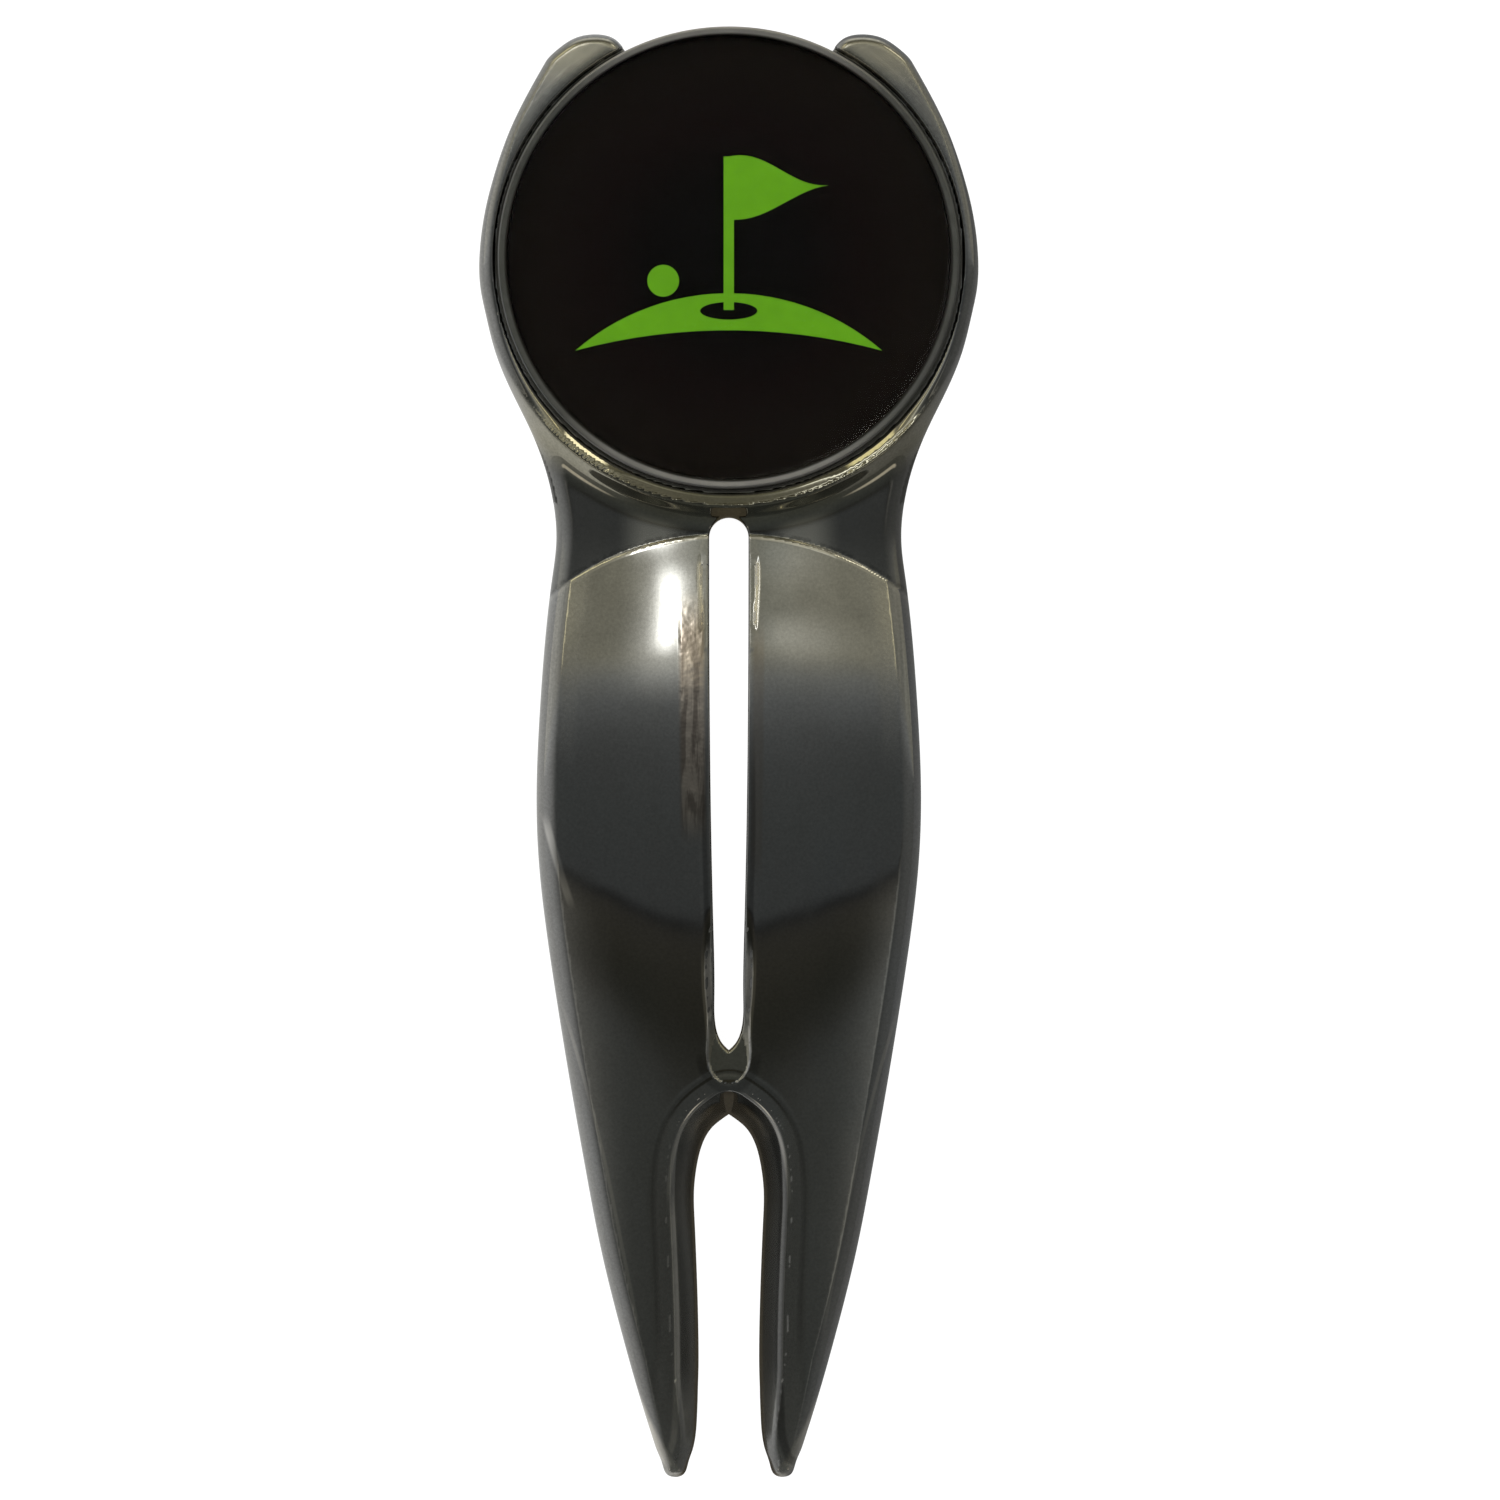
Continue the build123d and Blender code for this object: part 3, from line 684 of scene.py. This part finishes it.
def dark_steel():
    m, nt, sh = material("marker_steel")
    co = add(nt, "ShaderNodeTexCoord").outputs["Object"]
    sh.inputs["Metallic"].default_value = 1.0
    sep = add(nt, "ShaderNodeSeparateXYZ")
    nt.links.new(co, sep.inputs[0])
    dx = maths(nt, "POWER", sep.outputs[0], 2.0)
    dy = maths(nt, "POWER", maths(nt, "SUBTRACT", sep.outputs[1], MARKER_Y * MM), 2.0)
    rad = maths(nt, "SQRT", maths(nt, "ADD", dx, dy))
    # painted light: the rim is coloured lighter at the top and the bottom, where a turned rim catches the light
    catch = maths(nt, "DIVIDE", dy, maths(nt, "ADD", dx, dy))
    cloud = noise(nt, co, 500, 4, 0.6)
    side = ramp(nt, cloud, [(0.3, (0.20, 0.205, 0.20)), (0.7, (0.27, 0.275, 0.27))])
    painted_lit = ramp(nt, cloud, [(0.3, (0.56, 0.545, 0.545)), (0.7, (0.66, 0.645, 0.64))])
    col = mix(nt, span(nt, catch, 0.35, 1.0), side, painted_lit)
    # painted shadow along the inner edge, where it meets the print
    col = mix(nt, span(nt, rad, 0.01220, 0.01206), col, (0.05, 0.048, 0.045))
    nt.links.new(col, sh.inputs["Base Color"])
    nt.links.new(span(nt, noise(nt, co, 1800, 3), 0.3, 0.7, 0.34, 0.42), sh.inputs["Roughness"])
    turned = maths(nt, "SINE", maths(nt, "MULTIPLY", rad, 2 * math.pi / 0.00006))
    bump(nt, sh, maths(nt, "ADD", maths(nt, "MULTIPLY", turned, 0.3), noise(nt, co, 4200, 3, 0.6)), 0.2, 0.00001)
    return m


def black_print():
    m, nt, sh = material("black_print")
    co = add(nt, "ShaderNodeTexCoord").outputs["Object"]
    sep = add(nt, "ShaderNodeSeparateXYZ")
    nt.links.new(co, sep.inputs[0])
    dx = maths(nt, "POWER", sep.outputs[0], 2.0)
    dy = maths(nt, "POWER", maths(nt, "SUBTRACT", sep.outputs[1], MARKER_Y * MM), 2.0)
    rad = maths(nt, "SQRT", maths(nt, "ADD", dx, dy))
    base = ramp(nt, span(nt, rad, 0.0, 0.0120, 0, 1, False), [(0.0, (0.0004, 0.0001, 0.0001)), (0.35, (0.0010, 0.0002, 0.0002)), (0.60, (0.0040, 0.0010, 0.0009)), (0.82, (0.0052, 0.0026, 0.0016)), (1.0, (0.0056, 0.0032, 0.0018))])
    speck = noise(nt, co, 9000, 2, 0.6)
    nt.links.new(mix(nt, span(nt, speck, 0.5, 0.8, 0.0, 0.16), base, (0.008, 0.005, 0.004)), sh.inputs["Base Color"])
    nt.links.new(span(nt, noise(nt, co, 3000, 3), 0.3, 0.7, 0.42, 0.58), sh.inputs["Roughness"])
    sh.inputs["Specular IOR Level"].default_value = 0.05
    bump(nt, sh, speck, 0.15, 0.000006)
    return m


def green_print():
    m, nt, sh = material("green_print")
    co = add(nt, "ShaderNodeTexCoord").outputs["Object"]
    cloud = noise(nt, co, 700, 3, 0.6)
    speck = noise(nt, co, 12000, 2, 0.6)
    col = ramp(nt, cloud, [(0.3, (0.150, 0.480, 0.0035)), (0.7, (0.176, 0.545, 0.0050))])
    nt.links.new(mix(nt, span(nt, speck, 0.5, 0.8, 0.0, 0.18), col, (0.13, 0.40, 0.004)), sh.inputs["Base Color"])
    nt.links.new(span(nt, speck, 0.3, 0.7, 0.45, 0.6), sh.inputs["Roughness"])
    sh.inputs["Specular IOR Level"].default_value = 0.2
    bump(nt, sh, speck, 0.2, 0.000006)
    return m


def resin():
    m, nt, sh = material("clear_resin")
    co = add(nt, "ShaderNodeTexCoord").outputs["Object"]
    sh.inputs["Transmission Weight"].default_value = 1.0
    sh.inputs["IOR"].default_value = 1.12
    cloud = noise(nt, co, 900, 3, 0.5)
    nt.links.new(ramp(nt, cloud, [(0.3, (0.985, 0.985, 0.975)), (0.7, (1.0, 1.0, 0.995))]), sh.inputs["Base Color"])
    nt.links.new(span(nt, noise(nt, co, 1500, 4), 0.3, 0.75, 0.03, 0.07), sh.inputs["Roughness"])
    bump(nt, sh, noise(nt, co, 240, 2), 0.25, 0.00002)
    return m


def nickel():
    m, nt, sh = material("nickel_magnet")
    co = add(nt, "ShaderNodeTexCoord").outputs["Object"]
    sh.inputs["Metallic"].default_value = 1.0
    cloud = noise(nt, co, 700, 4, 0.6)
    nt.links.new(ramp(nt, cloud, [(0.3, (0.60, 0.58, 0.54)), (0.7, (0.70, 0.69, 0.66))]), sh.inputs["Base Color"])
    nt.links.new(span(nt, noise(nt, co, 2600, 4, 0.6, (1, 0.15, 1)), 0.3, 0.7, 0.18, 0.34), sh.inputs["Roughness"])
    bump(nt, sh, noise(nt, co, 5200, 3, 0.6, (1, 0.1, 1)), 0.3, 0.00001)
    return m


def glue():
    m, nt, sh = material("adhesive")
    co = add(nt, "ShaderNodeTexCoord").outputs["Object"]
    cloud = noise(nt, co, 1600, 4, 0.6)
    nt.links.new(ramp(nt, cloud, [(0.3, (0.46, 0.36, 0.20)), (0.7, (0.62, 0.52, 0.33))]), sh.inputs["Base Color"])
    nt.links.new(span(nt, cloud, 0.3, 0.7, 0.25, 0.45), sh.inputs["Roughness"])
    bump(nt, sh, cloud, 0.5, 0.00004)
    return m


def paint(ob, mat):
    ob.data.materials.clear()
    ob.data.materials.append(mat)


# ----------------------------------------------------------------- pieces
M_BODY, M_CUP, M_BLACK, M_GREEN, M_RESIN, M_MAGNET, M_GLUE = gunmetal(), dark_steel(), black_print(), green_print(), resin(), nickel(), glue()

body = body_mesh()
paint(body, M_BODY)
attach(body, "tool")
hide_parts("tool_body")

cup = lathe("marker_cup_shell", rounded([
    (0, 2.62), (12.5, 2.62, 0.18), (12.5, 4.62, 0.12), (12.01, 4.60, 0.05), (12.01, 3.12, 0.03), (0, 3.12)]))
paint(cup, M_CUP)
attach(cup, "marker")
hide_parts("marker_cup")

insert = lathe("marker_insert_disc", rounded([(0, 3.125), (11.97, 3.125, 0.02), (11.99, 3.415, 0.02), (8, 3.42), (4, 3.42), (0, 3.42)]))
paint(insert, M_BLACK)
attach(insert, "marker")
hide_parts("marker_insert")

dome_r, sphere = 11.985, (11.985**2 + 0.22**2) / (2 * 0.22)
dome_top = [(r, 4.46 + 0.22 - sphere + math.sqrt(sphere**2 - r * r) - 0.03 * math.exp(-(((11.985 - r) / 0.20) ** 2))) for r in np.linspace(11.985, 0, 40)]
dome = lathe("marker_dome_lens", [(0, 3.485), (6, 3.485), (11.93, 3.485), (11.97, 3.49), (11.984, 3.51), (11.985, 3.55), (11.985, 4.30)] + dome_top)
paint(dome, M_RESIN)
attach(dome, "marker")
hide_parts("marker_dome")

magnet = lathe("magnet_disc", rounded([(0, 1.15), (5.0, 1.15, 0.08), (5.0, 2.55, 0.14), (0, 2.55)]))
paint(magnet, M_MAGNET)
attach(magnet, "tool")
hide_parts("magnet")

# glue under the magnet, squeezed up a little into the gap round it
glue_ob = lathe("magnet_glue", [(0, 1.055), (5.14, 1.055), (5.14, 2.32), (5.09, 2.26), (5.01, 2.30), (5.005, 1.148), (0, 1.148)])
paint(glue_ob, M_GLUE)
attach(glue_ob, "tool")
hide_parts("magnet_adhesive")

paint(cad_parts["marker_emblem"], M_GREEN)

# ----------------------------------------------------------------- floor
bm = bmesh.new()
n = 24
grid = [[bm.verts.new((x, y, 0)) for y in np.linspace(-1.2, 1.2, n)] for x in np.linspace(-1.2, 1.2, n)]
for i in range(n - 1):
    for j in range(n - 1):
        bm.faces.new((grid[i][j], grid[i + 1][j], grid[i + 1][j + 1], grid[i][j + 1]))
mesh = bpy.data.meshes.new("floor")
bm.to_mesh(mesh)
bm.free()
floor_ob = bpy.data.objects.new("floor", mesh)
bpy.context.scene.collection.objects.link(floor_ob)
floor_ob.location.z = -0.00002
m, nt, sh = material("floor")
co = add(nt, "ShaderNodeTexCoord").outputs["Object"]
sep = add(nt, "ShaderNodeSeparateXYZ")
nt.links.new(co, sep.inputs[0])
sh.inputs["Roughness"].default_value = 0.9
sh.inputs["Specular IOR Level"].default_value = 0.0
sh.inputs["Base Color"].default_value = (0.22, 0.22, 0.22, 1)
sh.inputs["Emission Color"].default_value = (1, 1, 1, 1)
sh.inputs["Emission Strength"].default_value = 0.97
# in reflections it glows as a white table, with painted light from the left and painted shade right under the tool
facing = add(nt, "ShaderNodeLayerWeight")
facing.inputs["Blend"].default_value = 0.5
steep = span(nt, facing.outputs["Facing"], 1.0, 0.0, 0.44, 0.66, False)
across = span(nt, sep.outputs[0], -0.003, 0.004, 1.0, 0.30)
ahead = span(nt, sep.outputs[1], 0.030, 0.040, 0.0, 0.5)
level = maths(nt, "MULTIPLY", steep, maths(nt, "MAXIMUM", across, ahead))
under = both(nt, span(nt, maths(nt, "ABSOLUTE", sep.outputs[0]), 0.0042, 0.0018), span(nt, sep.outputs[1], 0.0160, 0.0140), span(nt, sep.outputs[1], -0.0450, -0.0410))
glow = add(nt, "ShaderNodeEmission")
nt.links.new(mix(nt, under, (1, 1, 0.98), (0.085, 0.074, 0.055)), glow.inputs["Color"])
nt.links.new(maths(nt, "MAXIMUM", maths(nt, "MULTIPLY", level, maths(nt, "SUBTRACT", 1.0, under)), under), glow.inputs["Strength"])
lp = add(nt, "ShaderNodeLightPath")
pick = add(nt, "ShaderNodeMixShader")
nt.links.new(lp.outputs["Is Glossy Ray"], pick.inputs[0])
nt.links.new(sh.outputs[0], pick.inputs[1])
nt.links.new(glow.outputs[0], pick.inputs[2])
nt.links.new(pick.outputs[0], [n for n in nt.nodes if n.bl_idname == "ShaderNodeOutputMaterial"][0].inputs[0])
paint(floor_ob, m)

# ----------------------------------------------------------------- world: the studio round the tool
world = bpy.data.worlds.new("studio")
bpy.context.scene.world = world
world.use_nodes = True
nt = world.node_tree
nt.nodes.clear()
out = add(nt, "ShaderNodeOutputWorld")
bg = add(nt, "ShaderNodeBackground")
nt.links.new(bg.outputs[0], out.inputs[0])
direction = add(nt, "ShaderNodeTexCoord").outputs["Generated"]
sep = add(nt, "ShaderNodeSeparateXYZ")
nt.links.new(direction, sep.inputs[0])
X, Y, Z = sep.outputs


def lamp(axis, inner, outer):
    """1 inside a cone of half angle inner about the axis, 0 outside outer. Degrees."""
    a = np.array(axis, float)
    a /= np.linalg.norm(a)
    dot = add(nt, "ShaderNodeVectorMath", operation="DOT_PRODUCT")
    nt.links.new(direction, dot.inputs[0])
    dot.inputs[1].default_value = a
    return span(nt, dot.outputs["Value"], math.cos(math.radians(outer)), math.cos(math.radians(inner)))


def times(fac, colour):
    n = add(nt, "ShaderNodeVectorMath", operation="SCALE")
    n.inputs[0].default_value = colour
    nt.links.new(fac, n.inputs["Scale"])
    return n.outputs[0]


def total(*parts):
    acc = parts[0]
    for p in parts[1:]:
        n = add(nt, "ShaderNodeVectorMath", operation="ADD")
        nt.links.new(acc, n.inputs[0])
        nt.links.new(p, n.inputs[1])
        acc = n.outputs[0]
    return acc


tilt_x = maths(nt, "MULTIPLY", maths(nt, "ARCTAN2", X, maths(nt, "MAXIMUM", Z, 0.02)), 180 / math.pi)  # degrees from straight up, to the right
tilt_y = maths(nt, "MULTIPLY", maths(nt, "ARCTAN2", Y, maths(nt, "MAXIMUM", Z, 0.02)), 180 / math.pi)  # and towards the head


def bell(value, centre, width):
    """exp(-((value - centre) / width)^2)"""
    return maths(nt, "EXPONENT", maths(nt, "MULTIPLY", maths(nt, "POWER", maths(nt, "DIVIDE", maths(nt, "SUBTRACT", value, centre), width), 2.0), -1.0))


def stops(table):
    """Colour stops by degrees of tilt, from -30 to 90."""
    return [((d + 30) / 120, c) for d, c in table]


# the dark zone's border bends, so it shows as an arc across the grip
bent = maths(nt, "SUBTRACT", tilt_y, maths(nt, "MULTIPLY", maths(nt, "POWER", X, 2.0), 11.0))
middle = ramp(nt, span(nt, bent, -30, 90, 0, 1, False), stops([
    (-30, (0.068, 0.072, 0.068)), (-13.4, (0.066, 0.069, 0.064)), (-12.9, (0.060, 0.062, 0.057)), (-12.2, (0.043, 0.043, 0.037)), (-11.5, (0.031, 0.031, 0.025)), (-10.5, (0.034, 0.033, 0.026)), (-9.2, (0.044, 0.042, 0.034)), (-8.45, (0.044, 0.042, 0.036)),
    (-8.15, (0.024, 0.024, 0.023)), (-7.9, (0.026, 0.027, 0.027)), (-7.6, (0.064, 0.068, 0.068)), (-3.9, (0.071, 0.076, 0.075)), (-1.4, (0.084, 0.088, 0.087)), (0.6, (0.105, 0.110, 0.109)), (4.0, (0.165, 0.172, 0.170)), (7.0, (0.235, 0.240, 0.225)),
    (11.0, (0.300, 0.290, 0.230)), (25.0, (0.290, 0.280, 0.218)), (34.0, (0.20, 0.19, 0.14)), (43.0, (0.11, 0.105, 0.075)), (58.0, (0.12, 0.115, 0.08)), (66.0, (0.55, 0.53, 0.45)), (78.0, (0.95, 0.92, 0.80)), (90.0, (0.60, 0.57, 0.48))]))
side = ramp(nt, span(nt, tilt_y, -30, 90, 0, 1, False), stops([(-30, (0.078, 0.080, 0.076)), (-10, (0.078, 0.080, 0.076)), (0, (0.100, 0.103, 0.100)), (5, (0.185, 0.19, 0.185)), (12, (0.23, 0.225, 0.19)), (60, (0.26, 0.25, 0.20)), (90, (0.24, 0.23, 0.19))]))
base = mix(nt, span(nt, maths(nt, "ABSOLUTE", X), 0.28, 0.62), middle, side)
# uneven reflections in the pale zone ahead
haze = add(nt, "ShaderNodeTexNoise")
haze.inputs["Scale"].default_value = 7.0
haze.inputs["Detail"].default_value = 2.0
nt.links.new(direction, haze.inputs["Vector"])
ahead = both(nt, span(nt, tilt_y, 6, 14), span(nt, haze.outputs[0], 0.35, 0.70, -0.3, 0.5))
left = ramp(nt, maths(nt, "MULTIPLY", X, -1.0), [(0.0, (0, 0, 0)), (0.35, (0, 0, 0)), (0.50, (0.055, 0.055, 0.055)), (0.63, (0.125, 0.125, 0.125)), (0.85, (0.25, 0.25, 0.25)), (0.95, (0.32, 0.32, 0.32)), (1.0, (0.38, 0.38, 0.38))])
right = span(nt, X, 0.45, 1.0, 0.0, 0.035)
window = both(nt, span(nt, tilt_y, 10.0, 15.0), span(nt, tilt_y, 26.0, 22.0))
core = both(nt, bell(tilt_x, -8.9, 1.6), window)
glow_l = both(nt, bell(tilt_x, -8.6, 4.1), span(nt, tilt_y, 3.0, 14.0), span(nt, tilt_y, 31.0, 20.0))
spot_r = maths(nt, "ADD", both(nt, bell(tilt_x, 9.0, 5.0), bell(tilt_y, 28.0, 5.0)), both(nt, bell(tilt_x, 9.0, 5.5), bell(tilt_y, 14.0, 4.0)))
across_x = maths(nt, "ABSOLUTE", tilt_x)
strips = both(nt, bell(across_x, 26.4, 1.5), span(nt, tilt_y, 11.0, 14.0), span(nt, tilt_y, 29.0, 26.0))
low_strips = both(nt, bell(across_x, 25.0, 5.0), span(nt, tilt_y, -17.0, -14.0), span(nt, tilt_y, -6.0, -9.0))
scene_light = total(
    base,
    times(ahead, (0.10, 0.095, 0.075)),
    left,
    times(right, (1.0, 0.98, 0.94)),
    times(core, (3.2, 3.2, 3.1)),
    times(glow_l, (0.74, 0.74, 0.70)),
    times(spot_r, (0.26, 0.26, 0.24)),
    times(lamp((-0.423, 0.582, 0.695), 4, 8), (1.15, 1.05, 0.60)),
    times(lamp((0.423, 0.582, 0.695), 3, 6.5), (2.1, 1.95, 1.45)),
    times(strips, (1.15, 1.02, 0.62)),
    times(low_strips, (0.17, 0.165, 0.15)),
    times(lamp((-0.53, -0.70, 0.48), 3, 10), (0.55, 0.50, 0.42)),
    times(lamp((0.53, -0.70, 0.48), 3, 10), (0.55, 0.50, 0.42)),
)
path = add(nt, "ShaderNodeLightPath")
nt.links.new(mix(nt, path.outputs["Is Camera Ray"], scene_light, (1.0, 1.0, 1.0)), bg.inputs["Color"])
# only reflections and the camera see the studio's pattern; what lights the floor is even
soft = add(nt, "ShaderNodeBackground")
soft.inputs["Color"].default_value = (1, 1, 1, 1)
soft.inputs["Strength"].default_value = 0.62
pick = add(nt, "ShaderNodeMixShader")
nt.links.new(path.outputs["Is Diffuse Ray"], pick.inputs[0])
nt.links.new(bg.outputs[0], pick.inputs[1])
nt.links.new(soft.outputs[0], pick.inputs[2])
nt.links.new(pick.outputs[0], out.inputs[0])


def area(name, place, size, power, colour=(1, 1, 1)):
    data = bpy.data.lights.new(name, "AREA")
    data.shape = "RECTANGLE"
    data.size, data.size_y = size
    data.energy = power
    data.color = colour
    ob = bpy.data.objects.new(name, data)
    ob.location = place
    d = -np.array(place)
    ob.rotation_euler = Vector(d).to_track_quat("-Z", "Y").to_euler()
    ob.visible_glossy = False
    bpy.context.scene.collection.objects.link(ob)
    return ob


area("key", (-0.35, 0.30, 0.75), (0.7, 0.7), 3.0)
area("fill", (0.45, -0.15, 0.65), (0.8, 0.8), 1.6)

# ----------------------------------------------------------------- camera
cam = bpy.data.cameras.new("camera")
cam.type = "PERSP"
cam.sensor_width = 36
distance_m = 0.70
cam.lens = 36 * (distance_m - 0.004) / 0.08117
cam.clip_start, cam.clip_end = 0.05, 10
cam_ob = bpy.data.objects.new("camera", cam)
cam_ob.location = (0.00115, 0.0002, distance_m)
bpy.context.scene.collection.objects.link(cam_ob)
bpy.context.scene.camera = cam_ob
bpy.context.scene.view_settings.view_transform = "Standard"
bpy.context.scene.view_settings.look = "None"
